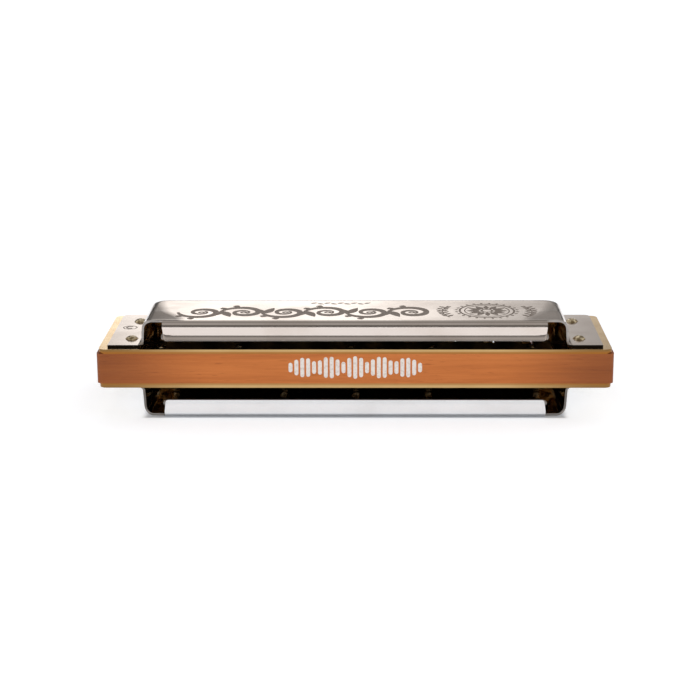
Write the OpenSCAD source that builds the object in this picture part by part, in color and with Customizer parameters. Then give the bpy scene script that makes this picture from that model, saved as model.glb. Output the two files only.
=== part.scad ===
// Ten-hole diatonic harmonica: a wooden comb between two brass reed plates,
// twenty brass reeds on their rivets, and two pressed steel covers held by pins.
// +X runs to the low-note end, +Y to the mouthpiece, +Z up.
// It rests on its lower cover. The origin is on that surface, under the middle of the object.

/* [Comb] */
// Length of the comb
comb_l = 101.5; // [99:0.5:104]
// Depth of the comb and of both reed plates, from the rear face to the mouthpiece
comb_w = 27; // [27:0.5:29]
// Thickness of the wood
comb_h = 6; // [5.8:0.1:6.6]
// Radius of the comb's four upright corners
comb_corner_r = 1; // [0.8:0.1:2]
// Distance from one hole to the next
hole_pitch = 7.6; // [7.5:0.05:7.7]
// Width of a channel
channel_w = 5.3; // [5:0.1:5.5]

/* [Reed plates] */
// Length of a reed plate
plate_l = 100.7; // [98:0.1:103]
// Radius of a reed plate's corners
plate_corner_r = 1.4; // [1:0.1:2.5]
// Thickness of a reed plate
plate_t = 0.9; // [0.8:0.05:1.1]
// Gap between a reed and each wall of its slot
slot_gap = 0.1; // [0.06:0.01:0.15]

/* [Reeds] */
// Width of a tongue at its root
reed_w = 2.2; // [2:0.05:2.4]
// Width of a tongue at its tip
reed_tip_w = 2.05; // [1.9:0.05:2.2]
// Length of the tongues in hole 1, the lowest
reed_long = 16; // [15:0.1:16.2]
// Length of the tongues in the last hole, the highest
reed_short = 9; // [8.5:0.1:10]
// Thickness at the root
root_t = 0.28; // [0.24:0.01:0.32]
// Thickness at the thinnest part of a tongue
waist_t = 0.2; // [0.16:0.01:0.24]
// Thickness of the weighted tip in hole 1
tip_t_low = 0.34; // [0.26:0.01:0.36]
// Thickness of the scraped tip in the last hole
tip_t_high = 0.14; // [0.1:0.01:0.2]
// Height of a tongue's tip above its plate at rest
tip_lift = 0.3; // [0.2:0.05:0.5]
// Width of the root pad under the rivet
pad_w = 3.2; // [2.8:0.1:3.4]
// Length of the root pad
pad_l = 3.2; // [2.8:0.1:3.4]
// Distance from the mouthpiece edge to the roots of the blow reeds
blow_root_in = 6.4; // [6:0.1:6.8]
// Distance from the mouthpiece edge to the tips of the draw reeds
draw_tip_in = 6.6; // [6.2:0.1:6.8]
// Diameter of a rivet's shank
rivet_d = 1; // [0.8:0.05:1.2]
// Diameter of a rivet's head
rivet_head_d = 1.9; // [1.6:0.1:2.2]

/* [Covers] */
// Height of a cover above its reed plate
cover_h = 5.85; // [5.5:0.05:6.4]
// Thickness of the pressed sheet
sheet_t = 0.45; // [0.35:0.05:0.5]
// Length of a cover with its end flanges
cover_l = 97.4; // [95:0.1:98]
// Length of the turned-down rear lip
lip_l = 75; // [70:0.1:76]
// Height of the lip's free edge above the reed plate
lip_clear = 2.1; // [1.6:0.1:3]
// How far the lip stands out behind the comb
lip_out = 1.35; // [1:0.05:1.8]
// Outer radius of the fold between the top and the lip
fold_r = 1.3; // [1:0.05:1.5]
// Slope of the front face, in degrees
front_slope = 38; // [34:1:42]
// Slope of the end walls, in degrees
end_slope = 85; // [80:1:88]

/* [Pins] */
// Distance from the middle to the cover pins, along the length
cover_pin_x = 44.5; // [44:0.1:45.5]
// Distance from the middle to the cover pins, along the depth
cover_pin_y = 6.9; // [6:0.1:8]
// Shank diameter of a cover pin
cover_pin_d = 1.2; // [1:0.05:1.4]
// Head diameter of a cover pin
cover_pin_head_d = 2.6; // [2.2:0.1:2.8]
// Shank diameter of a plate pin
plate_pin_d = 1; // [0.8:0.05:1.1]
// Head diameter of a plate pin
plate_pin_head_d = 1.8; // [1.6:0.1:2]

/* [Hidden] */
$fn = 48;
holes = 10;
fit = 0.01; // radial room between a pin or rivet and its hole
nick = 0.05; // gap between a tongue and its root pad, where the reed flexes
over = 1; // how far a cutting solid runs past what it cuts
bend_steps = 8; // flats that stand for a bend

// Heights: the comb's mid plane, and the inner and outer faces of the plates
mid_z = cover_h + plate_t + comb_h / 2;
upper_inner = mid_z + comb_h / 2;
upper_outer = upper_inner + plate_t;
lower_inner = mid_z - comb_h / 2;
lower_outer = lower_inner - plate_t;

// Depths: the lips stand out behind the comb, so its middle lies ahead of the origin
comb_y = lip_out / 2;
rear_y = comb_y - comb_w / 2;
front_y = comb_y + comb_w / 2;

// Cover: edges, bends and corners
cover_front_in = 1; // from the mouthpiece edge to the cover's front edge
cover_rear_in = 1.7; // from the comb's rear face to the flanges' rear edge
arch_lean = 1.2; // how far the end walls' rear edges lean out at the top
shelf = 1; // flat strip along the cover's front edge
front_foot_r = 1.5;
front_top_r = 3.5;
end_foot_r = 0.8;
end_top_r = 2;
end_foot_x = 42.75; // where an end wall meets its flange
flange_r = 1.2; // front corners of the flanges
lip_corner_r = 0.6;
front_run = comb_w - cover_front_in + lip_out; // from the cover's front edge to its lip
flange_run = comb_w - cover_front_in - cover_rear_in;

// Pins: places along the length, depths in from an edge, and their other sizes
upper_rear_pins = [-38, -22.8, -0.8, 15.2, 34.6];
lower_rear_pins = [-38, -22.8, -7.6, 7.6, 22.8, 38];
front_pins = [-38, -15.2, 0, 15.2, 38];
rear_pin_in = 2;
front_pin_in = 4.6;
pin_bite = 2.6; // length of a pin in the wood
cover_pin_head_h = 0.6;
plate_pin_head_h = 0.35;
rivet_head_h = 0.35;
rivet_in = 1.5; // from the root line to the rivet

// A tongue's thickness, as stations along it: share of its length, share of waist to tip
stations = [[0.3, 0], [0.7, 0], [0.78, 1], [1, 1]];

// Hole 1 is at the +X end. The reeds get shorter and their tips thinner up to the last hole.
function hole_x(i) = hole_pitch * ((holes + 1) / 2 - i);
function share(i) = (i - 1) / (holes - 1);
function reed_l(i) = reed_long + (reed_short - reed_long) * share(i);
function tip_t(i) = tip_t_low + (tip_t_high - tip_t_low) * share(i);
function channel_l(i) = blow_root_in + reed_l(i) + 0.7;
function blow_root_y() = front_y - blow_root_in;
function draw_root_y(i) = front_y - draw_tip_in - reed_l(i);

// Turns what stands on the upper side of the comb over to its lower side
module underneath() {
    translate([0, 0, 2 * mid_z]) mirror([0, 0, 1]) children();
}

// Flat slab with rounded upright corners, standing on z = 0
module slab(l, w, h, r) {
    translate([-l / 2, -w / 2 + r, 0]) cube([l, w - 2 * r, h]);
    translate([-l / 2 + r, -w / 2, 0]) cube([l - 2 * r, w, h]);
    for (x = [-1, 1], y = [-1, 1])
        translate([x * (l / 2 - r), y * (w / 2 - r), 0]) cylinder(h = h, r = r);
}

// Low domed head, its flat side on z = 0
module dome(d, h) {
    ball_r = (d * d / 4 + h * h) / (2 * h);
    intersection() {
        translate([0, 0, h - ball_r]) sphere(r = ball_r);
        cylinder(h = h, d = d);
    }
}

// ---- Comb ----

module comb() {
    color("peru") difference() {
        translate([0, comb_y, lower_inner]) slab(comb_l, comb_w, comb_h, comb_corner_r);
        for (i = [1:holes])
            translate([hole_x(i) - channel_w / 2, front_y - channel_l(i), lower_inner - over])
                cube([channel_w, channel_l(i) + over, comb_h + 2 * over]);
        pin_cuts(upper_rear_pins);
        underneath() pin_cuts(lower_rear_pins);
    }
}

// ---- Pins, and the holes that they go through ----

module cover_pin_places() {
    for (x = [-1, 1], y = [-1, 1])
        translate([x * cover_pin_x, comb_y + y * cover_pin_y, 0]) children();
}

module plate_pin_places(rear_pins) {
    for (x = rear_pins)
        translate([x, rear_y + rear_pin_in, 0]) children();
    for (x = front_pins)
        translate([x, front_y - front_pin_in, 0]) children();
}

module cover_pin_cuts() {
    depth = pin_bite + plate_t + sheet_t + over;
    translate([0, 0, upper_inner - pin_bite]) cover_pin_places()
        cylinder(h = depth, d = cover_pin_d + 2 * fit);
}

// Every hole in one side of the comb and in that side's reed plate
module pin_cuts(rear_pins) {
    depth = pin_bite + plate_t + over;
    cover_pin_cuts();
    translate([0, 0, upper_inner - pin_bite]) plate_pin_places(rear_pins)
        cylinder(h = depth, d = plate_pin_d + 2 * fit);
}

module cover_pins() {
    shank = pin_bite + plate_t + sheet_t;
    cover_pin_places() {
        translate([0, 0, upper_inner - pin_bite]) cylinder(h = shank, d = cover_pin_d);
        translate([0, 0, upper_outer + sheet_t]) dome(cover_pin_head_d, cover_pin_head_h);
    }
}

module plate_pins(rear_pins) {
    plate_pin_places(rear_pins) {
        translate([0, 0, upper_inner - pin_bite]) cylinder(h = pin_bite + plate_t, d = plate_pin_d);
        translate([0, 0, upper_outer]) dome(plate_pin_head_d, plate_pin_head_h);
    }
}

module upper_cover_pins() { color("darkgoldenrod") cover_pins(); }
module lower_cover_pins() { color("darkgoldenrod") underneath() cover_pins(); }
module upper_plate_pins() { color("goldenrod") plate_pins(upper_rear_pins); }
module lower_plate_pins() { color("goldenrod") underneath() plate_pins(lower_rear_pins); }

// ---- Reed plates ----

// Puts a reed at its place under its plate: the root line on y = 0, the plate's face on z = 0
module at_blow_reed(i) {
    translate([hole_x(i), blow_root_y(), upper_inner]) mirror([0, 1, 0]) children();
}
module at_draw_reed(i) {
    translate([hole_x(i), draw_root_y(i), lower_outer]) children();
}

// Plan of a tongue from y = from to its tip, made wider and longer by grow
module tongue_plan(i, from, grow) {
    polygon([[-reed_w / 2 - grow, from], [reed_w / 2 + grow, from],
             [reed_tip_w / 2 + grow, reed_l(i) + grow], [-reed_tip_w / 2 - grow, reed_l(i) + grow]]);
}

module slot(i) {
    translate([0, 0, -over]) linear_extrude(plate_t + 2 * over) tongue_plan(i, 0, slot_gap);
}

module rivet_hole() {
    translate([0, -rivet_in, -over]) cylinder(h = plate_t + 2 * over, d = rivet_d + 2 * fit);
}

module upper_reed_plate() {
    color("gold") difference() {
        translate([0, comb_y, upper_inner]) slab(plate_l, comb_w, plate_t, plate_corner_r);
        for (i = [1:holes]) at_blow_reed(i) {
            slot(i);
            rivet_hole();
        }
        pin_cuts(upper_rear_pins);
    }
}

module lower_reed_plate() {
    color("gold") difference() {
        translate([0, comb_y, lower_outer]) slab(plate_l, comb_w, plate_t, plate_corner_r);
        for (i = [1:holes]) at_draw_reed(i) {
            slot(i);
            rivet_hole();
        }
        underneath() pin_cuts(lower_rear_pins);
    }
}

// ---- Reeds: they lie under their plate, so a tongue's side view runs down from z = 0 ----

function lift(s) = tip_lift * pow(s, 1.5);

function tongue_side(i) = let (
    l = reed_l(i),
    start = nick / l,
    near = concat([start], [for (p = stations) p[0]]),
    thick = concat([root_t], [for (p = stations) waist_t + (tip_t(i) - waist_t) * p[1]]),
    last = len(near) - 1)
    concat([for (k = [0:last]) [near[k] * l, -lift(near[k])]],
           [for (k = [last:-1:0]) [near[k] * l, -lift(near[k]) - thick[k]]]);

module tongue(i) {
    depth = root_t + tip_lift + tip_t_low;
    intersection() {
        rotate([90, 0, 90]) translate([0, 0, -reed_w]) linear_extrude(2 * reed_w) polygon(tongue_side(i));
        translate([0, 0, -depth - over]) linear_extrude(depth + 2 * over) tongue_plan(i, nick, 0);
    }
}

module root_pad() {
    difference() {
        translate([-pad_w / 2, -pad_l, -root_t]) cube([pad_w, pad_l, root_t]);
        rivet_hole();
    }
}

// Its other end is hammered flush with the plate
module rivet() {
    translate([0, -rivet_in, 0]) {
        translate([0, 0, -root_t]) cylinder(h = root_t + plate_t, d = rivet_d);
        translate([0, 0, -root_t]) mirror([0, 0, 1]) dome(rivet_head_d, rivet_head_h);
    }
}

module blow_reed(i) { color("khaki") at_blow_reed(i) tongue(i); }
module draw_reed(i) { color("khaki") at_draw_reed(i) tongue(i); }
module blow_reed_roots() { color("khaki") for (i = [1:holes]) at_blow_reed(i) root_pad(); }
module draw_reed_roots() { color("khaki") for (i = [1:holes]) at_draw_reed(i) root_pad(); }
module blow_reed_rivets() { color("goldenrod") for (i = [1:holes]) at_blow_reed(i) rivet(); }
module draw_reed_rivets() { color("goldenrod") for (i = [1:holes]) at_draw_reed(i) rivet(); }

// ---- Covers, drawn with the reed plate's outer face on z = 0 and their front edge on y = 0 ----

function bend(centre, r, from, to) =
    [for (k = [0:bend_steps]) let (a = from + (to - from) * k / bend_steps)
        [centre[0] + r * cos(a), centre[1] + r * sin(a)]];

// A wall that rises from a foot at the given run: its two bends, for the face t under the outer one
function rise(foot, foot_r, top_r, slope, t) = let (
    climb = cover_h - sheet_t - (foot_r + top_r) * (1 - cos(slope)),
    top = foot + (foot_r + top_r) * sin(slope) + climb / tan(slope))
    concat(bend([foot, sheet_t + foot_r], foot_r + t, -90, slope - 90),
           bend([top, cover_h - top_r], top_r - t, slope + 90, 90));

// Side view, from the front edge (u = 0) to the lip
module side_outline(t) {
    fold = bend([front_run - fold_r, cover_h - fold_r], fold_r - t, 90, 0);
    front = t == 0 ? [[0, -over], [0, sheet_t]] : [[shelf, -over]];
    rear = t == 0 ? [[front_run, -over]]
                  : [[front_run - t, lip_clear], [front_run + over, lip_clear], [front_run + over, -over]];
    polygon(concat(front, rise(shelf, front_foot_r, front_top_r, front_slope, t), fold, rear));
}

// End view, from one flange's end to the other's
module end_outline(t) {
    flange = t == 0 ? [[-cover_l / 2, -over], [-cover_l / 2, sheet_t]] : [[-end_foot_x, -over]];
    half = concat(flange, rise(-end_foot_x, end_foot_r, end_top_r, end_slope, t));
    last = len(half) - 1;
    polygon(concat(half, [for (k = [last:-1:0]) [-half[k][0], half[k][1]]]));
}

module side_prism(t) {
    rotate([90, 0, -90]) translate([0, 0, -cover_l]) linear_extrude(2 * cover_l)
        side_outline(t);
}

module end_prism(t) {
    translate([0, over, 0]) rotate([90, 0, 0]) linear_extrude(front_run + 2 * over) end_outline(t);
}

// Everything ahead of the leaning rear edges of the end walls, and the lip between them
module cover_limits() {
    intersection() {
        translate([0, -front_run, 0]) slab(cover_l, 2 * front_run, cover_h, flange_r);
        rotate([90, 0, -90]) translate([0, 0, -cover_l]) linear_extrude(2 * cover_l)
            polygon([[0, 0], [0, cover_h], [flange_run + arch_lean, cover_h], [flange_run, sheet_t],
                     [flange_run, 0]]);
    }
    translate([0, -flange_run + over, 0]) rotate([90, 0, 0]) linear_extrude(front_run) lip_window();
}

module lip_window() {
    r = lip_corner_r;
    translate([-lip_l / 2, lip_clear + r]) square([lip_l, cover_h - lip_clear - r]);
    translate([-lip_l / 2 + r, lip_clear]) square([lip_l - 2 * r, cover_h - lip_clear]);
    for (x = [-1, 1])
        translate([x * (lip_l / 2 - r), lip_clear + r]) circle(r = r);
}

module cover() {
    translate([0, front_y - cover_front_in, upper_outer]) difference() {
        intersection() {
            side_prism(0);
            end_prism(0);
            cover_limits();
        }
        intersection() {
            side_prism(sheet_t);
            end_prism(sheet_t);
        }
    }
}

module pinned_cover() {
    difference() {
        cover();
        cover_pin_cuts();
    }
}

module upper_cover() { color("silver") pinned_cover(); }
module lower_cover() { color("silver") underneath() pinned_cover(); }

comb();
upper_reed_plate();
lower_reed_plate();
upper_cover();
lower_cover();
upper_cover_pins();
lower_cover_pins();
upper_plate_pins();
lower_plate_pins();
blow_reed_roots();
draw_reed_roots();
blow_reed_rivets();
draw_reed_rivets();
for (i = [1:holes]) {
    blow_reed(i);
    draw_reed(i);
}
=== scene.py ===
"""A ten-hole diatonic harmonica, seen from behind and a little above, lying on its lower cover."""

import math

import bmesh
import bpy
import numpy as np
from mathutils import Matrix, Vector


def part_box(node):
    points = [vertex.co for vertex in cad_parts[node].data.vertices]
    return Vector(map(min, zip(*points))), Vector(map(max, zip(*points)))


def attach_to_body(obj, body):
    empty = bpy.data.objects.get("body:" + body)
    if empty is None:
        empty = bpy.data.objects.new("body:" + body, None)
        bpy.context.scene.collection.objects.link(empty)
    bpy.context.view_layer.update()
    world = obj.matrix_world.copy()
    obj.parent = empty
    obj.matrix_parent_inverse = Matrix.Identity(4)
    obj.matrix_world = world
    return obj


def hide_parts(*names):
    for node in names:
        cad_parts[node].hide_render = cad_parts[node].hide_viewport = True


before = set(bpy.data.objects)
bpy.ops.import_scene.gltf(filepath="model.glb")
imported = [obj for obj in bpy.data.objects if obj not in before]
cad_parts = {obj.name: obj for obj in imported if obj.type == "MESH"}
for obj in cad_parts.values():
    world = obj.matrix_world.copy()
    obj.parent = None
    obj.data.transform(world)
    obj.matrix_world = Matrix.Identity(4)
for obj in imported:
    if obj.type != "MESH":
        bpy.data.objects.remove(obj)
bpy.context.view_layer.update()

MM = 0.001
BODY = "harmonica"
HOLES = 10
RIGHT_ANGLE = math.pi / 2

# ---------------------------------------------------------------- places, in millimetres in the frame


def node_box(node):
    low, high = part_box(node)
    return np.array(low) / MM, np.array(high) / MM


COMB_LOW, COMB_HIGH = node_box("comb")
UPPER_LOW, UPPER_HIGH = node_box("upper_cover")
UPPER_FACE = node_box("upper_reed_plate")[1][2]
LOWER_FACE = node_box("lower_reed_plate")[0][2]
MID_Z = (COMB_LOW[2] + COMB_HIGH[2]) / 2
REAR_Y = COMB_LOW[1]

# ---------------------------------------------------------------- mesh helpers


def new_object(name, mesh):
    piece = bpy.data.objects.new(name, mesh)
    bpy.context.scene.collection.objects.link(piece)
    return piece


def mesh_object(name, points, faces):
    """A mesh object from points in millimetres."""
    mesh = bpy.data.meshes.new(name)
    mesh.from_pydata([tuple(p) for p in np.asarray(points, float) * MM], [], faces)
    mesh.validate()
    return new_object(name, mesh)


def edit(piece, change):
    """Runs change(bmesh) on a piece's mesh."""
    work = bmesh.new()
    work.from_mesh(piece.data)
    change(work)
    work.to_mesh(piece.data)
    work.free()
    return piece


def bake_modifiers(piece):
    """Replaces a piece's mesh by the one its modifiers make."""
    depsgraph = bpy.context.evaluated_depsgraph_get()
    mesh = bpy.data.meshes.new_from_object(piece.evaluated_get(depsgraph))
    piece.modifiers.clear()
    piece.data = mesh
    return piece


def smooth_by_angle(piece, degrees=38):
    """Shades a piece smooth, except where its faces turn by more than the angle. Large faces stay flat."""
    limit = math.radians(degrees)

    def change(work):
        for face in work.faces:
            face.smooth = True
        for edge in work.edges:
            edge.smooth = len(edge.link_faces) == 2 and edge.calc_face_angle() < limit

    edit(piece, change)
    normals = piece.modifiers.new("normals", "WEIGHTED_NORMAL")
    normals.keep_sharp = True
    return bake_modifiers(piece)


def bevel(piece, width, segments=3, degrees=40):
    """Rounds a piece's sharp edges. The width is in millimetres."""
    rounding = piece.modifiers.new("rounding", "BEVEL")
    rounding.width = width * MM
    rounding.segments = segments
    rounding.limit_method = "ANGLE"
    rounding.angle_limit = math.radians(degrees)
    bake_modifiers(piece)
    return smooth_by_angle(piece)


def thicken(piece, thickness, offset):
    """Turns a sheet into a closed solid. The thickness is in millimetres; offset -1 grows it inwards."""
    solid = piece.modifiers.new("thickness", "SOLIDIFY")
    solid.thickness = thickness * MM
    solid.offset = offset
    solid.use_even_offset = True
    # A piece with several materials has the second on its inner side and the third on its edges
    solid.material_offset = min(1, max(0, len(piece.data.materials) - 1))
    solid.material_offset_rim = max(0, len(piece.data.materials) - 1)
    return bake_modifiers(piece)


def refined(name, node, width, segments=3):
    """A copy of a CAD node's mesh with clean flat faces and rounded edges."""

    def clean(work):
        bmesh.ops.remove_doubles(work, verts=work.verts, dist=1e-7)
        bmesh.ops.dissolve_limit(work, angle_limit=math.radians(1), verts=work.verts, edges=work.edges)

    piece = new_object(name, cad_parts[node].data.copy())
    edit(piece, clean)
    return bevel(piece, width, segments)


def lathe(profile, segments=40):
    """Points and faces of a closed solid turned about Z, from (radius, height) points, lowest first."""
    points, faces = [], []
    for radius, height in profile:
        for k in range(segments):
            a = 2 * math.pi * k / segments
            points.append((radius * math.cos(a), radius * math.sin(a), height))
    for r in range(len(profile) - 1):
        for k in range(segments):
            n = (k + 1) % segments
            low, high = r * segments, (r + 1) * segments
            faces.append((low + k, low + n, high + n, high + k))
    faces.append(tuple(reversed(range(segments))))
    faces.append(tuple(range((len(profile) - 1) * segments, len(profile) * segments)))
    return points, faces


def repeated(name, solid, places, turned=False):
    """One object made of the same solid at each place. turned turns it upside down."""
    points, faces = solid
    turn = np.array([1, -1, -1]) if turned else np.array([1, 1, 1])
    all_points, all_faces = [], []
    for place in places:
        start = len(all_points)
        all_points += [tuple(np.array(p) * turn + np.array(place)) for p in points]
        all_faces += [tuple(i + start for i in face) for face in faces]
    return mesh_object(name, all_points, all_faces)


def attach(piece, material, slot, *nodes, body=BODY):
    """Gives a piece a material, if one is named, and its body, and hides the CAD nodes it replaces. The
    slot is not used.
    """
    if material:
        piece.data.materials.clear()
        piece.data.materials.append(material)
    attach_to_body(piece, body)
    if nodes:
        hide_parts(*nodes)
    return piece


def arc(centre, radius, start, end, steps):
    """Points along an arc, with angles in radians."""
    return [
        (centre[0] + radius * math.cos(a), centre[1] + radius * math.sin(a))
        for a in np.linspace(start, end, steps + 1)
    ]


# ---------------------------------------------------------------- materials


class Graph:
    """A short way to build a material's nodes."""

    def __init__(self, name):
        self.material = bpy.data.materials.new(name)
        self.material.use_nodes = True
        self.tree = self.material.node_tree
        self.shader = self.tree.nodes["Principled BSDF"]
        self.place = self.node("ShaderNodeTexCoord").outputs["Object"]

    def node(self, kind, **settings):
        made = self.tree.nodes.new(kind)
        for key, value in settings.items():
            setattr(made, key, value)
        return made

    def feed(self, socket, value):
        if hasattr(value, "is_output"):
            self.tree.links.new(value, socket)
        else:
            socket.default_value = value

    def math(self, operation, a, b=0.0):
        made = self.node("ShaderNodeMath", operation=operation)
        self.feed(made.inputs[0], a)
        self.feed(made.inputs[1], b)
        return made.outputs[0]

    def stretch(self, scale):
        made = self.node("ShaderNodeMapping")
        self.feed(made.inputs["Vector"], self.place)
        made.inputs["Scale"].default_value = scale
        return made.outputs["Vector"]

    def noise(self, scale, detail=4.0, roughness=0.55, distortion=0.0):
        """Noise with its own scale, per metre, along X, Y and Z."""
        made = self.node("ShaderNodeTexNoise")
        self.feed(made.inputs["Vector"], self.stretch(scale))
        made.inputs["Scale"].default_value = 1.0
        made.inputs["Detail"].default_value = detail
        made.inputs["Roughness"].default_value = roughness
        made.inputs["Distortion"].default_value = distortion
        return made.outputs["Fac"]

    def remap(self, value, low, high, to_low=0.0, to_high=1.0):
        made = self.node("ShaderNodeMapRange", interpolation_type="SMOOTHSTEP")
        self.feed(made.inputs["Value"], value)
        made.inputs["From Min"].default_value = low
        made.inputs["From Max"].default_value = high
        made.inputs["To Min"].default_value = to_low
        made.inputs["To Max"].default_value = to_high
        return made.outputs["Result"]

    def ramp(self, value, stops):
        made = self.node("ShaderNodeValToRGB")
        self.feed(made.inputs["Fac"], value)
        elements = made.color_ramp.elements
        while len(elements) < len(stops):
            elements.new(0.5)
        for element, (position, colour) in zip(elements, stops):
            element.position = position
            element.color = (*colour, 1.0)
        return made.outputs["Color"]

    def mix(self, share, a, b, blend="MIX"):
        made = self.node("ShaderNodeMix", data_type="RGBA", blend_type=blend)
        self.feed(made.inputs["Factor"], share)
        self.feed(made.inputs["A"], (*a, 1.0) if isinstance(a, tuple) else a)
        self.feed(made.inputs["B"], (*b, 1.0) if isinstance(b, tuple) else b)
        return made.outputs["Result"]

    def axis(self, name):
        made = self.node("ShaderNodeSeparateXYZ")
        self.feed(made.inputs[0], self.place)
        return made.outputs[name]

    def bump(self, height, distance, strength=1.0):
        """Relief on top of any that the shader has already. distance is in millimetres."""
        made = self.node("ShaderNodeBump")
        for link in self.shader.inputs["Normal"].links:
            self.feed(made.inputs["Normal"], link.from_socket)
        self.feed(made.inputs["Height"], height)
        made.inputs["Distance"].default_value = distance * MM
        self.feed(made.inputs["Strength"], strength)
        self.feed(self.shader.inputs["Normal"], made.outputs["Normal"])

    def set(self, **sockets):
        for name, value in sockets.items():
            self.feed(self.shader.inputs[name.replace("_", " ")], value)
        return self.material


def wood_material():
    g = Graph("pear_wood")
    streaks = g.noise((70, 1500, 1500), 6, 0.62, 0.4)
    bands = g.noise((14, 260, 260), 3, 0.5, 0.8)
    pores = g.noise((320, 5200, 5200), 2, 0.5)
    tone = g.math("ADD", g.math("MULTIPLY", streaks, 0.55), g.math("MULTIPLY", bands, 0.45))
    dark, middle, light = (0.42, 0.118, 0.025), (0.53, 0.157, 0.036), (0.63, 0.205, 0.052)
    colour = g.ramp(tone, [(0.30, dark), (0.50, middle), (0.72, light)])
    colour = g.mix(g.remap(pores, 0.62, 0.74, 0.0, 0.45), colour, (0.26, 0.065, 0.015))
    # Painted shade: the wood darkens towards its ends, where less light reaches it
    outward = g.math("ABSOLUTE", g.axis("X"))
    colour = g.mix(g.remap(outward, 0.026, 0.051, 0.0, 1.0), colour, (0.50, 0.47, 0.50), "MULTIPLY")
    g.bump(g.math("ADD", streaks, g.math("MULTIPLY", pores, -0.6)), 0.05, 0.6)
    roughness = g.remap(streaks, 0.3, 0.7, 0.42, 0.58)
    return g.set(Base_Color=colour, Roughness=roughness, Specular_IOR_Level=0.25)


def brass_colour(g, light, dark, line_scale):
    """The colour of brass with fine lines one way and patchy tarnish, and the noise behind the patches."""
    lines = g.noise(line_scale, 4, 0.6)
    patches = g.noise((180, 180, 180), 4, 0.6)
    colour = g.mix(g.remap(patches, 0.42, 0.66, 0.0, 0.8), light, dark)
    g.bump(lines, 0.01, 0.35)
    return g.mix(g.remap(lines, 0.45, 0.7, 0.0, 0.25), colour, dark), patches


def reed_material():
    g = Graph("reed_brass")
    colour, patches = brass_colour(g, (0.78, 0.57, 0.29), (0.66, 0.44, 0.20), (5000, 60, 5000))
    return g.set(Base_Color=colour, Metallic=1.0, Roughness=g.remap(patches, 0.35, 0.7, 0.22, 0.34))


def pin_material():
    """Brass nails with heads that the hammer has dented."""
    g = Graph("pin_brass")
    dents = g.noise((1500, 1500, 1500), 2, 0.5)
    fine = g.noise((4000, 4000, 4000), 3, 0.6)
    colour = g.mix(g.remap(dents, 0.40, 0.62), (0.32, 0.23, 0.12), (0.90, 0.76, 0.52))
    g.bump(g.math("ADD", dents, g.math("MULTIPLY", fine, 0.1)), 0.35, 0.9)
    return g.set(Base_Color=colour, Metallic=1.0, Roughness=g.remap(dents, 0.40, 0.62, 0.26, 0.14))


def plate_material():
    """Polished brass with painted shade, near black, under the covers. Its upright edges are dull and
    painted darker as shade, most towards the ends, and darker by the wood.
    """
    g = Graph("plate_brass")
    colour, patches = brass_colour(g, (0.93, 0.68, 0.38), (0.84, 0.58, 0.29), (60, 5000, 5000))
    outward = g.math("ABSOLUTE", g.axis("X"))
    edge = g.remap(facing_up(g), 0.5, 0.9, 1.0, 0.0)
    from_wood = g.math("SUBTRACT", g.axis("Z"), MID_Z * MM)
    above = g.remap(from_wood, 0.00322, 0.00366, 0.85, 0.0)
    below = g.remap(from_wood, -0.00350, -0.00322, 0.0, 0.55)
    # The line where each plate's edge meets the wood
    seam = g.math("MULTIPLY", above, g.remap(from_wood, -0.001, 0.001))
    seam = g.math("ADD", seam, g.math("MULTIPLY", below, g.remap(from_wood, -0.001, 0.001, 1.0, 0.0)))
    # Painted shade, near black, where a cover shades the plate: between the ends of its lip, and in a
    # narrow band across its arches
    rear = g.axis("Y")
    ends = g.remap(outward, 0.0383, 0.0392, 1.0, 0.0)
    band = g.math("MULTIPLY", g.remap(rear, -0.0090, -0.0083), g.remap(rear, -0.0066, -0.0059, 1.0, 0.0))
    band = g.math("MULTIPLY", band, g.remap(outward, 0.0424, 0.0428, 1.0, 0.0))
    under = g.math("MULTIPLY", g.math("MAXIMUM", ends, band), g.remap(rear, 0.0120, 0.0128, 1.0, 0.0))
    covered_painted_shade = g.math("MULTIPLY", under, g.math("SUBTRACT", 1.0, edge))
    # Painted shade: near black under the covers
    colour = g.mix(g.math("MULTIPLY", covered_painted_shade, 0.96), colour, (0.045, 0.028, 0.014))
    # The upright edges are duller brass, and are painted darker as shade, more so towards the ends
    colour = g.mix(g.math("MULTIPLY", edge, 0.9), colour, (0.53, 0.34, 0.14))
    end_shade = g.math("MULTIPLY", edge, g.remap(outward, 0.026, 0.049, 0.0, 0.85))
    colour = g.mix(end_shade, colour, (0.21, 0.10, 0.026))
    colour = g.mix(g.math("MULTIPLY", edge, seam), colour, (0.36, 0.135, 0.026))
    polish = g.math("ADD", g.remap(patches, 0.35, 0.7, 0.08, 0.13), g.math("MULTIPLY", covered_painted_shade, 0.25))
    roughness = g.math("ADD", polish, g.math("MULTIPLY", edge, 0.2))
    return g.set(Base_Color=colour, Metallic=1.0, Roughness=roughness)


def facing_up(g):
    """One where the surface lies flat, and zero where it stands upright."""
    facing = g.node("ShaderNodeSeparateXYZ")
    g.feed(facing.inputs[0], g.place.node.outputs["Normal"])
    return g.math("ABSOLUTE", facing.outputs["Z"])


# The sag starts this far from the middle at the front, and further in at the rear, in metres
DIP_START, REAR_SHIFT, FOLD_SHIFT = 0.0383, 0.0026, 0.0032
# It starts as a bend this wide with this curve, and goes on as a straight slope
DIP_BEND, DIP_CURVE = 0.0023, 33.0


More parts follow.
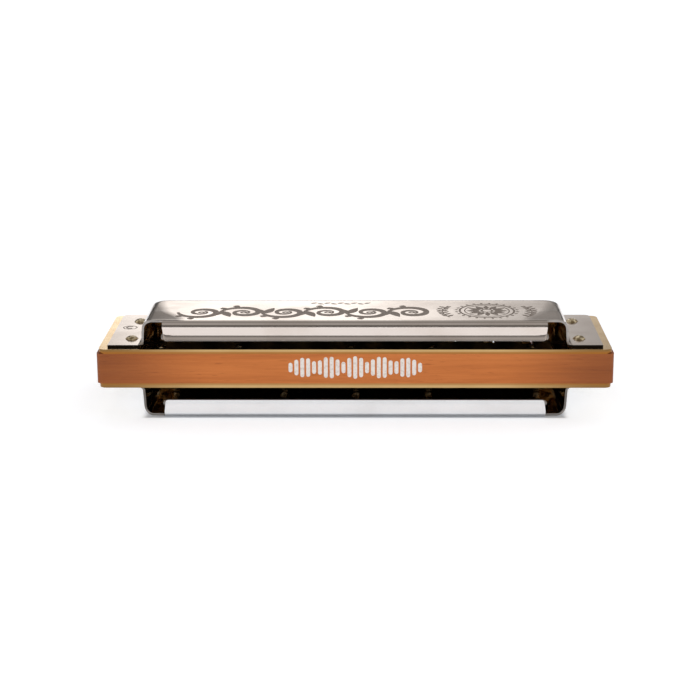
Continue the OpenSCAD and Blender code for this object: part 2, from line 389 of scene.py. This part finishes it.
def end_dip(g):
    """The sag of a cover's top near its ends, in metres. It reaches furthest from the ends at the rear."""
    rearward = g.remap(g.axis("Y"), -0.0100, 0.0040, REAR_SHIFT, 0.0)
    at_the_fold = g.remap(g.axis("Y"), -0.0125, -0.0050, FOLD_SHIFT, 0.0)
    start = g.math("SUBTRACT", DIP_START, g.math("ADD", rearward, at_the_fold))
    into = g.math("MAXIMUM", g.math("SUBTRACT", g.math("ABSOLUTE", g.axis("X")), start), 0.0)
    near = g.math("MINIMUM", into, DIP_BEND)
    dip = g.math("MULTIPLY", near, g.math("SUBTRACT", g.math("MULTIPLY", into, 2.0), near))
    return g.math("MULTIPLY", dip, -DIP_CURVE)


def on_top(g):
    """One on the flat top of a cover, and zero on its fold, lip, walls and flanges."""
    from_middle = g.math("ABSOLUTE", g.math("SUBTRACT", g.axis("Z"), MID_Z * MM))
    return g.math("MULTIPLY", g.remap(from_middle, 0.0062, 0.0078), g.remap(facing_up(g), 0.90, 0.98))


def steel_material(name, light, dark, roughness=0.13):
    """Polished stainless sheet with faint marks along its length."""
    g = Graph(name)
    brushed = g.noise((60, 6500, 6500), 4, 0.6)
    smears = g.noise((90, 140, 140), 4, 0.55)
    colour = g.mix(g.remap(smears, 0.4, 0.7), light, dark)
    g.bump(end_dip(g), 1 / MM, on_top(g))
    g.bump(brushed, 0.004, 0.25)
    dull = g.remap(smears, 0.35, 0.7, roughness, roughness * 1.5)
    return g.set(Base_Color=colour, Metallic=1.0, Roughness=dull)


def cut_steel_material():
    """The cut edges of the pressed sheet. They are painted near black as shade where they lie on the
    plates.
    """
    g = Graph("cover_cut_edge")
    grit = g.noise((700, 3000, 3000), 4, 0.6)
    colour = g.mix(g.remap(grit, 0.35, 0.7), (0.40, 0.37, 0.345), (0.30, 0.275, 0.255))
    from_wood = g.math("ABSOLUTE", g.math("SUBTRACT", g.axis("Z"), MID_Z * MM))
    # Painted shade: near black where the edges lie on the plates
    colour = g.mix(g.remap(from_wood, 0.00436, 0.00450, 0.96, 0.0), colour, (0.012, 0.008, 0.005))
    g.bump(grit, 0.01, 0.4)
    return g.set(Base_Color=colour, Metallic=1.0, Roughness=g.remap(grit, 0.3, 0.7, 0.34, 0.44))


def etched_material():
    g = Graph("etched_mark")
    grit = g.noise((4200, 4200, 4200), 3, 0.6)
    colour = g.ramp(grit, [(0.3, (0.165, 0.130, 0.108)), (0.7, (0.280, 0.230, 0.200))])
    g.bump(grit, 0.01, 0.5)
    return g.set(Base_Color=colour, Metallic=0.35, Roughness=0.55)


def print_material():
    g = Graph("white_print")
    grit = g.noise((1800, 1800, 1800), 4, 0.65)
    colour = g.ramp(grit, [(0.30, (0.60, 0.50, 0.43)), (0.52, (0.79, 0.74, 0.70))])
    g.bump(grit, 0.02, 0.5)
    return g.set(Base_Color=colour, Roughness=0.55)


# How strongly the floor glows near the harmonica and far from it, and the distances in metres. The weaker
# glow near it is painted shade.
FLOOR_GLOW, FAR_GLOW = 0.45, 0.92
GLOW_NEAR, GLOW_FAR = 0.2, 1.1


def floor_material():
    """White paper on a light table. It glows less near the harmonica, and has a painted shadow where the
    lower cover stands.
    """
    g = Graph("pale_floor")
    paper = g.noise((900, 900, 900), 3, 0.6)
    colour = g.ramp(paper, [(0.3, (0.80, 0.83, 0.875)), (0.7, (0.84, 0.87, 0.915))])
    g.bump(paper, 0.02, 0.3)
    # Painted shadow: less glow under the lower cover's footprint
    across = g.remap(g.math("ABSOLUTE", g.axis("X")), 0.0408, 0.0424, 1.0, 0.0)
    rear = g.remap(g.axis("Y"), -0.0142, -0.0135)
    along = g.math("MULTIPLY", rear, g.remap(g.axis("Y"), 0.008, 0.012, 1.0, 0.0))
    away = g.node("ShaderNodeVectorMath", operation="LENGTH")
    g.feed(away.inputs[0], g.place)
    level = g.remap(away.outputs["Value"], GLOW_NEAR, GLOW_FAR, FLOOR_GLOW, FAR_GLOW)
    glow = g.math("MULTIPLY", level, g.math("SUBTRACT", 1.0, g.math("MULTIPLY", across, along)))
    g.set(Base_Color=colour, Roughness=1.0, Specular_IOR_Level=0.0)
    return g.set(Emission_Color=(1, 1, 1, 1), Emission_Strength=glow)


WOOD = wood_material()
PLATE_BRASS = plate_material()
REED_BRASS = reed_material()
PIN_BRASS = pin_material()
# Painted light: both covers are one steel, in two tones, warmer and darker above and lighter and cooler
# below, for how the light falls on each
STEEL_ABOVE = steel_material("cover_steel", (0.73, 0.648, 0.594), (0.68, 0.593, 0.535))
STEEL_BELOW = steel_material("cover_steel_lower_painted_tone", (0.82, 0.82, 0.825), (0.77, 0.765, 0.765))
INSIDE_STEEL = steel_material("cover_inside", (0.76, 0.72, 0.67), (0.70, 0.66, 0.61), 0.08)
CUT_STEEL = cut_steel_material()
ETCHED = etched_material()
PRINT = print_material()

# ---------------------------------------------------------------- covers

SHEET_T = 0.45
COVER_H = UPPER_HIGH[2] - UPPER_FACE
HALF_COVER = UPPER_HIGH[0]
COVER_FRONT_Y = UPPER_HIGH[1]
FRONT_RUN = UPPER_HIGH[1] - UPPER_LOW[1]
FLANGE_RUN, ARCH_LEAN = 24.3, 1.2
HEM_OUT = 0.50
SHELF, END_FOOT_X, FLANGE_R = 1.0, 42.75, 1.2
FRONT_FOOT_R, FRONT_TOP_R, FRONT_SLOPE = 1.5, 3.5, math.radians(38)
END_FOOT_R, END_TOP_R, END_SLOPE = 0.8, 2.0, math.radians(85)
FOLD_R, HALF_LIP, LIP_TAPER, LIP_CLEAR, LIP_CORNER_R = 1.3, 37.5, 0.25, 2.1, 0.6
# The hem's section, as (out from the lip's face, up from its free edge) points
HEM = [
    (0, 0.98), (0.03, 0.90), (0.11, 0.74), (0.20, 0.57),
    (0.30, 0.40), (0.41, 0.23), (0.48, 0.10), (0.50, 0),
]
FOOT_CORNER_R = 3.4
ROWS, MIDDLE_COLUMNS = 16, 56
TURN_STEPS = (3, 5, 4)  # steps along the flange's end, round its corner and along its front
TURN = sum(TURN_STEPS)


def rise(foot_r, top_r, slope, steps):
    """A wall's outer face, as (distance in from its foot, height) points up to the flat top."""
    climb = COVER_H - SHEET_T - (foot_r + top_r) * (1 - math.cos(slope))
    top = (foot_r + top_r) * math.sin(slope) + climb / math.tan(slope)
    foot_bend = arc((0, SHEET_T + foot_r), foot_r, -RIGHT_ANGLE, slope - RIGHT_ANGLE, steps)
    top_bend = arc((top, COVER_H - top_r), top_r, slope + RIGHT_ANGLE, RIGHT_ANGLE, steps)
    return np.array(foot_bend + top_bend)


def cover_columns():
    """Shares of the lip's half length, closer together near its ends, where its corners are round."""
    near = 1 - np.array([0, 0.08, 0.2, 0.36, 0.6, 0.72, 1.0]) / HALF_LIP
    middle = np.linspace(-near[-1], near[-1], MIDDLE_COLUMNS)
    return list(-near[:-1]) + list(middle) + list(reversed(near[:-1]))


def level_line(end_in, front_in, radius, height, shares):
    """A level line of the cover: forward on the left, round the front, and back on the right."""
    x, u = END_FOOT_X - end_in, SHELF + front_in
    rear = FLANGE_RUN + ARCH_LEAN * (height - SHEET_T) / (COVER_H - SHEET_T)
    wall = [(-x, r) for r in np.linspace(rear, u + radius, ROWS + 1)]
    turn = arc((radius - x, u + radius), radius, math.pi, 3 * RIGHT_ANGLE, TURN)
    half = wall + turn[1:]
    front = [(s * (x - radius), u) for s in shares[1:-1]]
    return [(a, b, height) for a, b in half + front + [(-a, b) for a, b in reversed(half)]]


def flange_line(shares):
    """The cover's outer edge, point for point with its level lines."""
    start = SHELF + FOOT_CORNER_R
    inner = END_FOOT_X - FOOT_CORNER_R
    wall = [(-HALF_COVER, r) for r in np.linspace(FLANGE_RUN, start, ROWS + 1)]
    end = [(-HALF_COVER, r) for r in np.linspace(start, FLANGE_R, TURN_STEPS[0] + 1)]
    corner = arc((FLANGE_R - HALF_COVER, FLANGE_R), FLANGE_R, math.pi, 3 * RIGHT_ANGLE, TURN_STEPS[1])
    along = [(v, 0) for v in np.linspace(FLANGE_R - HALF_COVER, -inner, TURN_STEPS[2] + 1)]
    half = wall + end[1:] + corner[1:] + along[1:]
    front = [(s * inner, 0) for s in shares[1:-1]]
    return [(a, b, SHEET_T) for a, b in half + front + [(-a, b) for a, b in reversed(half)]]


def lip_rows(shares):
    """Rows from the arch's edge over the fold and down to the lip's free edge."""
    face_u = FRONT_RUN - HEM_OUT
    fold_u, fold_w = face_u - FOLD_R, COVER_H - FOLD_R
    section = [(b, a) for a, b in arc((fold_w, fold_u), FOLD_R, 0, RIGHT_ANGLE, 12)]
    rows = [[(s * HALF_LIP, u, w) for s in shares] for u, w in section]
    hem_top = LIP_CLEAR + HEM[0][1]
    face = [(0, hem_top + (fold_w - hem_top) * k / 4) for k in (3, 2, 1)]
    for out, height in face + [(out, LIP_CLEAR + up) for out, up in HEM]:
        share = (fold_w - height) / (fold_w - LIP_CLEAR)
        row = []
        for s in shares:
            into_corner = max(0.0, abs(s) * HALF_LIP - (HALF_LIP - LIP_CORNER_R))
            lift = LIP_CORNER_R - math.sqrt(max(0.0, LIP_CORNER_R**2 - into_corner**2))
            row.append((s * (HALF_LIP - LIP_TAPER * share), face_u + out, height + lift * share))
        rows.append(row)
    return rows


def cover_sheet():
    """Points (x, distance back from the front edge, height) and faces of a cover's outer surface."""
    shares = cover_columns()
    front = rise(FRONT_FOOT_R, FRONT_TOP_R, FRONT_SLOPE, 60)
    end = rise(END_FOOT_R, END_TOP_R, END_SLOPE, 60)
    coarse = [rise(FRONT_FOOT_R, FRONT_TOP_R, FRONT_SLOPE, 7), rise(END_FOOT_R, END_TOP_R, END_SLOPE, 7)]
    heights = np.unique(np.round(np.concatenate([c[:, 1] for c in coarse]), 4))
    top_corner_r = END_FOOT_X - end[-1, 0] - HALF_LIP
    lines = [flange_line(shares)]
    for height in heights:
        share = (height - SHEET_T) / (COVER_H - SHEET_T)
        radius = FOOT_CORNER_R + (top_corner_r - FOOT_CORNER_R) * share
        end_in = np.interp(height, end[:, 1], end[:, 0])
        front_in = np.interp(height, front[:, 1], front[:, 0])
        lines.append(level_line(end_in, front_in, radius, height, shares))
    count = len(lines[0])
    points = [p for line in lines for p in line]
    faces = []
    for k in range(len(lines) - 1):
        for i in range(count - 1):
            a, b = k * count + i, (k + 1) * count + i
            faces.append((a, b, b + 1, a + 1))
    # The flat top: each row joins the last level line at its two ends
    ring = (len(lines) - 1) * count
    side = ROWS + TURN
    last_column = len(shares) - 1
    rows = [[ring + side + j for j in range(last_column + 1)]]
    for k in range(side - 1, -1, -1):
        u = points[ring + k][1]
        start = len(points)
        points += [(s * HALF_LIP, u, COVER_H) for s in shares]
        rows.append(list(range(start, start + last_column + 1)))
        left, right = ring + k, ring + count - 1 - k
        ahead, row = rows[-2], rows[-1]
        if k == side - 1:
            faces.append((left, left + 1, row[0]))
            faces.append((right, row[-1], right - 1))
        else:
            faces.append((left, left + 1, ahead[0], row[0]))
            faces.append((right, row[-1], ahead[-1], right - 1))
    for row in lip_rows(shares):
        start = len(points)
        points += row
        rows.append(list(range(start, start + last_column + 1)))
    for ahead, row in zip(rows, rows[1:]):
        for j in range(last_column):
            faces.append((row[j], ahead[j], ahead[j + 1], row[j + 1]))
    return points, faces


def cover(name, node, above):
    """A pressed cover, above or below the comb."""
    points, faces = cover_sheet()
    placed = []
    for x, u, w in points:
        z = UPPER_FACE + w if above else LOWER_FACE - w
        placed.append((x, COVER_FRONT_Y - u, z))
    piece = mesh_object(name, placed, faces)

    def outward(work):
        bmesh.ops.recalc_face_normals(work, faces=work.faces)
        highest = max(work.faces, key=lambda f: abs(f.calc_center_median().z - MID_Z * MM))
        if (highest.normal.z > 0) != above:
            bmesh.ops.reverse_faces(work, faces=work.faces)

    edit(piece, outward)
    for material in (STEEL_ABOVE if above else STEEL_BELOW, INSIDE_STEEL, CUT_STEEL):
        piece.data.materials.append(material)
    thicken(piece, SHEET_T, -1)
    bevel(piece, 0.1, 2, 55)
    return attach(piece, None, "cover_steel", node)


cover("upper_cover_pressing", "upper_cover", True)
cover("lower_cover_pressing", "lower_cover", False)

# ---------------------------------------------------------------- comb, reed plates and pins

attach(refined("pear_wood_comb", "comb", 0.16), WOOD, "comb_wood", "comb")
for level in ("upper", "lower"):
    plate = refined(f"{level}_brass_plate", f"{level}_reed_plate", 0.08)
    attach(plate, PLATE_BRASS, "plate_brass", f"{level}_reed_plate")


def pin_solid(shank_r, length, head_r, head_h):
    """A pin that points down from the underside of its domed head, at z = 0."""
    dome = [(head_r * t, head_h * (1 - t**3)) for t in np.linspace(0.98, 0.03, 14)]
    rim = 0.1 * head_h
    profile = [(0.02, -length), (shank_r * 0.5, -length + 0.02), (shank_r, -length + shank_r * 0.6)]
    profile += [(shank_r, -0.02), (shank_r + 0.02, 0.0), (head_r * 0.95, 0.0), (head_r, rim * 0.5)]
    profile += [(r * 0.995, h) for r, h in dome if h > rim]
    return lathe(profile)


def pin_places(node, z):
    """The middle of each separate solid of a node, at the given height."""
    work = bmesh.new()
    work.from_mesh(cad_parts[node].data)
    bmesh.ops.remove_doubles(work, verts=work.verts, dist=1e-7)
    unseen = set(work.verts)
    places = []
    while unseen:
        reached = {unseen.pop()}
        edge = list(reached)
        while edge:
            for link in edge.pop().link_edges:
                for v in link.verts:
                    if v in unseen:
                        unseen.remove(v)
                        reached.add(v)
                        edge.append(v)
        co = np.array([v.co for v in reached]) / MM
        middle = (co.min(0) + co.max(0)) / 2
        places.append((middle[0], middle[1], z))
    work.free()
    return sorted(places)


PIN_BITE, PLATE_T, ROOT_T = 2.6, 0.9, 0.28
COVER_PIN = pin_solid(0.6, PIN_BITE + PLATE_T + SHEET_T, 1.3, 0.6)
PLATE_PIN = pin_solid(0.5, PIN_BITE + PLATE_T, 0.9, 0.35)
RIVET = pin_solid(0.5, PLATE_T + ROOT_T, 0.95, 0.35)


def fasteners(name, node, solid, z, turned=False):
    piece = repeated(name, solid, pin_places(node, z), turned)
    return attach(smooth_by_angle(piece, 50), PIN_BRASS, "pin_brass", node)


fasteners("upper_cover_nails", "upper_cover_pins", COVER_PIN, UPPER_FACE + SHEET_T)
fasteners("lower_cover_nails", "lower_cover_pins", COVER_PIN, LOWER_FACE - SHEET_T, turned=True)
fasteners("upper_plate_nails", "upper_plate_pins", PLATE_PIN, UPPER_FACE)
fasteners("lower_plate_nails", "lower_plate_pins", PLATE_PIN, LOWER_FACE, turned=True)
fasteners("blow_rivets", "blow_reed_rivets", RIVET, COMB_HIGH[2] - ROOT_T, turned=True)
fasteners("draw_rivets", "draw_reed_rivets", RIVET, LOWER_FACE - ROOT_T, turned=True)

# ---------------------------------------------------------------- reeds

for side in ("blow", "draw"):
    roots = f"{side}_reed_roots"
    attach(refined(f"{side}_root_pads", roots, 0.05, 2), REED_BRASS, "reed_brass", roots)
    for i in range(1, HOLES + 1):
        node = f"{side}_reed_{i}"
        attach(refined(f"{side}_tongue_{i}", node, 0.03, 2), REED_BRASS, "reed_brass", node, body=node)

# ---------------------------------------------------------------- engraved, stamped and printed marks


class Drawing:
    """Flat shapes gathered into one thin piece, in the drawing's own plane.

    Strokes are broader where they run along the first axis, as from a broad pen.
    """

    def __init__(self, boldness=1.0):
        self.points, self.faces, self.lifts = [], [], []
        self.boldness = boldness

    def lift(self):
        """Sets the newest shape a hair above the one before, so that no two lie in one plane."""
        shape = self.lifts[-1] + 0.0006 if self.lifts else 0.0
        self.lifts += [shape % 0.006] * (len(self.points) - len(self.lifts))

    def ribbon(self, path, widths):
        """A stroke along a path, with its width at each point."""
        path = np.array(path, float)
        tangent = np.gradient(path, axis=0)
        tangent /= np.linalg.norm(tangent, axis=1)[:, None]
        pen = np.array(widths, float) / 2 * (1 + self.boldness * np.abs(tangent[:, 0]))
        normal = np.stack([-tangent[:, 1], tangent[:, 0]], 1) * pen[:, None]
        start = len(self.points)
        for a, b in zip(path + normal, path - normal):
            self.points += [tuple(a), tuple(b)]
        for k in range(len(path) - 1):
            a = start + 2 * k
            self.faces.append((a, a + 1, a + 3, a + 2))
        self.lift()

    def ring(self, centre, radius, width, steps=48):
        start = len(self.points)
        for k in range(steps):
            a = 2 * math.pi * k / steps
            for r in (radius + width / 2, radius - width / 2):
                self.points.append((centre[0] + r * math.cos(a), centre[1] + r * math.sin(a)))
        for k in range(steps):
            a, b = start + 2 * k, start + 2 * ((k + 1) % steps)
            self.faces.append((a, b, b + 1, a + 1))
        self.lift()

    def leaf(self, base, angle, length, width, steps=10):
        """A pointed leaf from its base."""
        t = np.linspace(0.001, 0.999, steps)
        path = [(base[0] + length * s * math.cos(angle), base[1] + length * s * math.sin(angle)) for s in t]
        self.ribbon(path, width * np.sin(math.pi * t**0.8))

    def capsule(self, centre, width, height, steps=8):
        r = width / 2
        upper = arc((centre[0], centre[1] + height / 2 - r), r, 0, math.pi, steps)
        lower = arc((centre[0], centre[1] - height / 2 + r), r, math.pi, 2 * math.pi, steps)
        start = len(self.points)
        self.points += upper + lower
        self.faces.append(tuple(range(start, start + len(upper + lower))))
        self.lift()

    def piece(self, name, thickness, place):
        """The drawing as a thin closed solid. place(a, b, lift) says where a drawn point goes."""
        placed = [place(a, b, up) for (a, b), up in zip(self.points, self.lifts)]
        made = mesh_object(name, placed, self.faces)
        edit(made, lambda work: bmesh.ops.recalc_face_normals(work, faces=work.faces))
        thicken(made, thickness, 0)
        return smooth_by_angle(made)


INK = 0.02  # how thick a mark is
PROUD = 0.002  # how far its middle stands off the surface


def scroll(drawing, centre, size, up):
    """One spiral of the running scroll, with two leaves on its back."""
    turn = np.linspace(0, 3.3 * math.pi, 44)
    radius = size * np.exp(-0.155 * turn)
    sign = 1 if up else -1
    path = [(centre[0] - r * math.cos(a), centre[1] - sign * r * math.sin(a)) for r, a in zip(radius, turn)]
    share = np.linspace(0, 1, len(turn))
    drawing.ribbon(path, 0.45 + 1.0 * np.sin(math.pi * np.clip(share * 1.25, 0, 1)) ** 0.8 * (1 - share))
    drawing.ring(centre, 0.102 * size, 0.42, 20)
    for spread in (0.55, 1.15):
        base = (centre[0] - size * math.cos(spread), centre[1] - sign * size * math.sin(spread))
        drawing.leaf(base, math.pi + sign * (spread + 0.7), size * 0.32, 1.2)


def engraved_band(drawing, left, right, middle, size):
    """A running scroll that turns over at each step, with leaves between its spirals."""
    count = round((right - left) / (2 * size * 0.94))
    step = (right - left) / count
    for k in range(count):
        scroll(drawing, (left + step * (k + 0.5), middle), size, k % 2 == 0)
    for k in range(count - 1):
        x = left + step * (k + 1)
        sign = 1 if k % 2 else -1
        drawing.leaf((x, middle - sign * size * 0.2), sign * 1.2, size * 1.05, 1.5)
        drawing.leaf((x, middle - sign * size * 0.2), sign * 1.95, size * 0.85, 1.2)


def rosette(drawing, centre, radius):
    drawing.ring(centre, radius, 0.42, 64)
    drawing.ring(centre, radius * 0.82, 0.25, 56)
    drawing.ring(centre, radius * 0.2, 0.45, 24)
    for k in range(12):
        a = k * math.pi / 6
        base = (centre[0] + radius * 0.26 * math.cos(a), centre[1] + radius * 0.26 * math.sin(a))
        drawing.leaf(base, a, radius * 0.5, radius * 0.2)
    for k in range(24):
        a = (k + 0.5) * math.pi / 12
        base = (centre[0] + radius * 1.06 * math.cos(a), centre[1] + radius * 1.06 * math.sin(a))
        drawing.leaf(base, a, radius * 0.14, 0.5, 6)


def sprig(drawing, root, length, facing):
    """A leafy twig that leans away from the rosette."""
    t = np.linspace(0, 1, 14)
    lean = 1.26 * facing
    stem = [(root[0] + lean * math.sin(math.pi * s), root[1] + length * (s - 0.5)) for s in t]
    drawing.ribbon(stem, np.full(len(t), 0.22))
    for k in range(1, 13, 2):
        drawing.leaf(stem[k], RIGHT_ANGLE + facing * 0.8, 1.7, 0.6, 7)
        drawing.leaf(stem[k], RIGHT_ANGLE - facing * 0.8, 1.7, 0.6, 7)


TOP_Z = UPPER_FACE + COVER_H


def engrave(name, drawing):
    piece = drawing.piece(name, INK, lambda a, b, up: (a, b, TOP_Z + PROUD + up))
    return attach(piece, ETCHED, "cover_steel")


band = Drawing(0.7)
engraved_band(band, left=-34.6, right=15.4, middle=-6.2, size=4.7)
engrave("upper_cover_band", band)
# A rosette between two sprigs, and a row of small leaves along the front
medal = Drawing(0.3)
rosette(medal, centre=(26.2, -5.0), radius=5.4)
sprig(medal, (18.6, -5.6), 9.0, -1)
sprig(medal, (33.8, -5.6), 9.0, 1)
for k in range(9):
    medal.leaf((-9.0 + 1.35 * k, 1.1), 0.45 * (-1) ** k, 1.5, 0.55, 7)
engrave("upper_cover_rosette", medal)

# A round key stamp on the flange: a ring with an open arc in it
STAMP = (-46.0, 2.6)
stamp = Drawing()
stamp.ring(STAMP, 1.35, 0.22, 40)
stamp.ribbon(arc(STAMP, 0.72, math.radians(50), math.radians(310), 20), [0.26] * 21)
stamp_z = UPPER_FACE + SHEET_T + PROUD
attach(stamp.piece("key_stamp", INK, lambda a, b, up: (a, b, stamp_z + up)), ETCHED, "cover_steel")

# The print on the comb's rear face: a sound wave of upright bars
WAVE_BARS, WAVE_HALF, WAVE_H = 23, 12.7, 4.6
wave = Drawing()
for k in range(WAVE_BARS):
    share = k / (WAVE_BARS - 1) * 2 - 1
    swell = 0.42 + 0.58 * abs(math.cos(2.5 * math.pi * share)) * (1 - 0.35 * share * share)
    wave.capsule((share * WAVE_HALF + 0.1, MID_Z + 0.25), 0.78, WAVE_H * swell)
attach(wave.piece("comb_print", INK, lambda a, b, up: (a, REAR_Y - PROUD - up, b)), PRINT, "comb_wood")


NUMERAL_H = 2.3
NUMERAL_RISE = 3.4  # how far up the front slope a numeral's middle is


def hole_number(number, x):
    """A small numeral stamped on the cover's front slope, above its hole."""
    text = bpy.data.curves.new(f"number_{number}", "FONT")
    text.body = str(number)
    text.align_x, text.align_y = "CENTER", "CENTER"
    text.size = NUMERAL_H * MM
    text.extrude = INK / 2 * MM
    made = bpy.data.objects.new(f"number_{number}", text)
    bpy.context.scene.collection.objects.link(made)
    mesh = bpy.data.meshes.new_from_object(made.evaluated_get(bpy.context.evaluated_depsgraph_get()))
    bpy.data.objects.remove(made)
    piece = new_object(f"hole_number_{number}", mesh)
    foot = SHELF + FRONT_FOOT_R * math.sin(FRONT_SLOPE)
    height = SHEET_T + FRONT_FOOT_R * (1 - math.cos(FRONT_SLOPE))
    y = COVER_FRONT_Y - foot - NUMERAL_RISE * math.cos(FRONT_SLOPE)
    z = UPPER_FACE + height + NUMERAL_RISE * math.sin(FRONT_SLOPE)
    turn = Matrix.Rotation(math.pi, 4, "Z") @ Matrix.Rotation(FRONT_SLOPE, 4, "X")
    mesh.transform(Matrix.Translation(Vector((x, y, z)) * MM) @ turn)
    return attach(piece, ETCHED, "cover_steel")


for i in range(1, HOLES + 1):
    low, high = node_box(f"blow_reed_{i}")
    hole_number(i, (low[0] + high[0]) / 2)

# ---------------------------------------------------------------- floor, light and camera


FLOOR_DROP = 0.00003  # in metres, so that the floor and the lower cover don't share a plane


def stage_floor():
    size = 4.0
    mesh = bpy.data.meshes.new("floor")
    corners = [(-size, -size, 0), (size, -size, 0), (size, size, 0), (-size, size, 0)]
    mesh.from_pydata(corners, [], [(0, 1, 2, 3)])
    floor = new_object("floor", mesh)
    floor.location.z = -FLOOR_DROP
    mesh.materials.append(floor_material())


def soft_light(name, place, target, width, height, power, colour=(1, 1, 1)):
    """A softbox that lights the surfaces and doesn't show in their reflections."""
    light = bpy.data.lights.new(name, "AREA")
    light.shape = "RECTANGLE"
    light.size, light.size_y = width, height
    light.energy = power
    light.color = colour
    lamp = bpy.data.objects.new(name, light)
    bpy.context.scene.collection.objects.link(lamp)
    lamp.location = place
    lamp.rotation_euler = (Vector(target) - Vector(place)).to_track_quat("-Z", "Y").to_euler()
    lamp.visible_glossy = False


# Brightness by a direction's X and by its Z behind the object, then by its Z at the sides and in front
BACK_PANEL = [
    (-0.26, 0.2), (-0.21, 0.36), (-0.158, 1.20), (-0.12, 1.92), (-0.01, 1.90),
    (0.03, 1.50), (0.06, 1.08), (0.09, 0.80), (0.14, 0.58), (0.2, 0.4),
]
BACK_HEIGHTS = [
    (0.0, 0.12), (0.15, 0.35), (0.215, 1.0), (0.236, 1.0), (0.251, 1.05), (0.262, 0.42),
    (0.32, 0.62), (0.46, 0.85), (0.6, 0.35), (0.8, 0.22),
]
SIDE_HEIGHTS = [(0.0, 0.30), (0.25, 0.62), (0.6, 0.62), (1.0, 0.27)]
FRONT_HEIGHTS = [
    (0.0, 0.12), (0.12, 0.13), (0.19, 0.2), (0.30, 0.2), (0.38, 0.13), (0.55, 0.13),
    (0.70, 0.45), (0.93, 0.45), (1.0, 0.27),
]


def studio_world():
    """Soft studio surroundings, by direction: a bright panel behind on the left, and dimmer elsewhere."""
    world = bpy.data.worlds.new("studio")
    bpy.context.scene.world = world
    world.use_nodes = True
    tree = world.node_tree
    nodes, links = tree.nodes, tree.links
    split = nodes.new("ShaderNodeSeparateXYZ")
    links.new(nodes.new("ShaderNodeTexCoord").outputs["Generated"], split.inputs[0])

    def ramp(value, stops):
        shift = nodes.new("ShaderNodeMapRange")
        shift.inputs["From Min"].default_value = -1.0
        shift.inputs["From Max"].default_value = 1.0
        links.new(value, shift.inputs["Value"])
        made = nodes.new("ShaderNodeValToRGB")
        links.new(shift.outputs["Result"], made.inputs["Fac"])
        elements = made.color_ramp.elements
        while len(elements) < len(stops):
            elements.new(0.5)
        for element, (position, level) in zip(elements, stops):
            element.position = (position + 1) / 2
            element.color = (level, level, level, 1.0)
        return made.outputs["Color"]

    def mix(share, a, b):
        made = nodes.new("ShaderNodeMix")
        made.data_type = "FLOAT"
        for socket, value in (("Factor", share), ("A", a), ("B", b)):
            links.new(value, made.inputs[socket])
        return made.outputs["Result"]

    behind = ramp(split.outputs["X"], BACK_PANEL)
    above = ramp(split.outputs["Z"], BACK_HEIGHTS)
    height = ramp(split.outputs["Z"], FRONT_HEIGHTS)
    side = ramp(split.outputs["Y"], [(0.35, 0.0), (0.75, 1.0)])
    panel = nodes.new("ShaderNodeMath")
    panel.operation = "MULTIPLY"
    links.new(behind, panel.inputs[0])
    links.new(above, panel.inputs[1])
    sideways = ramp(split.outputs["X"], [(-0.55, 1.0), (-0.32, 0.0), (0.32, 0.0), (0.55, 1.0)])
    level = mix(side, height, panel.outputs[0])
    level = mix(sideways, level, ramp(split.outputs["Z"], SIDE_HEIGHTS))
    background = nodes["Background"]
    background.inputs["Color"].default_value = (1.0, 0.975, 0.945, 1.0)
    links.new(level, background.inputs["Strength"])
    plain = nodes.new("ShaderNodeBackground")
    plain.inputs["Color"].default_value = (1.0, 1.0, 1.0, 1.0)
    seen = nodes.new("ShaderNodeMixShader")
    links.new(nodes.new("ShaderNodeLightPath").outputs["Is Camera Ray"], seen.inputs["Fac"])
    links.new(background.outputs[0], seen.inputs[1])
    links.new(plain.outputs[0], seen.inputs[2])
    links.new(seen.outputs[0], nodes["World Output"].inputs["Surface"])


def camera():
    """The viewing angle: behind the harmonica, a third of a metre away and a little above."""
    place = (0.00418, -0.34409, 0.10429)
    pitch, yaw, roll = math.radians(15.315), math.radians(0.881), math.radians(-0.232)
    data = bpy.data.cameras.new("camera")
    data.lens, data.sensor_width = 90.364, 36.0
    data.clip_start = 0.01
    made = bpy.data.objects.new("camera", data)
    bpy.context.scene.collection.objects.link(made)
    turn = Matrix.Rotation(yaw, 4, "Z") @ Matrix.Rotation(RIGHT_ANGLE - pitch, 4, "X")
    turn = turn @ Matrix.Rotation(roll, 4, "Z")
    made.matrix_world = Matrix.Translation(place) @ turn
    bpy.context.scene.camera = made


stage_floor()
studio_world()
# In front: what lights the comb's rear face
soft_light("front_softbox", (0.0, -0.80, 0.34), (0, 0, 0.01), 0.55, 0.30, 2.2, (1.0, 0.975, 0.95))
# Overhead: what lights the floor, so that the harmonica shades it
soft_light("overhead_softbox", (0.12, 0.30, 0.90), (0, 0.05, 0), 1.2, 1.2, 3.0)
bpy.context.scene.cycles.max_bounces = 16
bpy.context.scene.cycles.glossy_bounces = 10
bpy.context.scene.view_settings.view_transform = "Standard"
camera()
